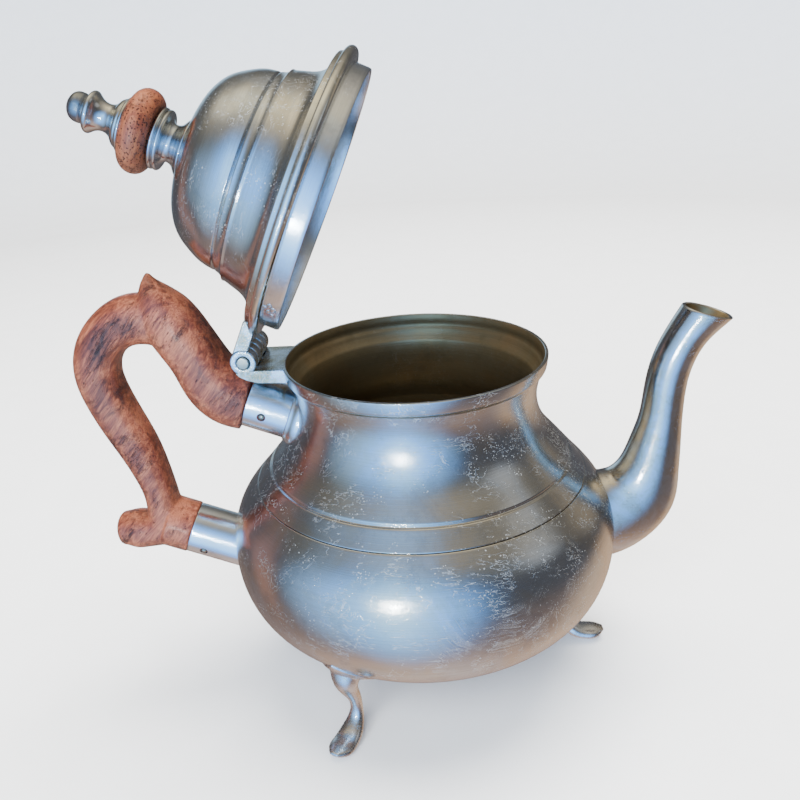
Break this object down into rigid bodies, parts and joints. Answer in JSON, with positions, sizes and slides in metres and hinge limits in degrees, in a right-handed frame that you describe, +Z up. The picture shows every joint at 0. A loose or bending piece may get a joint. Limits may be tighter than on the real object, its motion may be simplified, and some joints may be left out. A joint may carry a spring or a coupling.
{
  "type": "teapot",
  "caption": "Round-bodied pewter teapot on cabriole feet, with a swan-neck spout, a carved wooden handle in two sockets and a hinged domed lid with a turned finial.",
  "frame": {"origin": "on the floor, under the middle of the overall box", "axes": "+X towards the spout, +Z up, the hinge pin along Y"},
  "size_m": [0.228, 0.14, 0.2223],
  "materials": {
    "pewter": "worn satin pewter with spin lines",
    "bright_pewter": "pale polished pewter",
    "dark_pewter": "dark satin pewter",
    "steel": "satin",
    "handle_wood": "oiled reddish fruitwood, satin",
    "disc_wood": "open-pored reddish wood, satin"
  },
  "bodies": {
    "pot": {"body_bowl": "pewter", "body_shoulder": "pewter", "spout": "pewter", "upper_socket": "bright_pewter", "upper_socket_flange": "bright_pewter", "lower_socket": "bright_pewter", "upper_rivet": "steel", "lower_rivet": "steel", "handle": "handle_wood", "foot_front": "pewter", "foot_left": "pewter", "foot_right": "pewter", "hinge_bracket": "bright_pewter", "hinge_pin": "steel"},
    "lid": {"lid_dome": "pewter", "lid_flange": "pewter", "lid_collar": "bright_pewter", "lid_leaf": "bright_pewter", "finial_base": "pewter", "finial_disc": "disc_wood", "finial_top": "pewter", "finial_cap": "dark_pewter", "finial_rod": "steel", "finial_washer": "steel", "finial_nut": "steel"}
  },
  "joints": [
    {"name": "lid_hinge", "type": "hinge", "parent": "pot", "child": "lid", "pos_m": [-0.05087, 0, 0.1267], "axis": [0, 1, 0], "range_deg": [0, 65.5]}
  ]
}
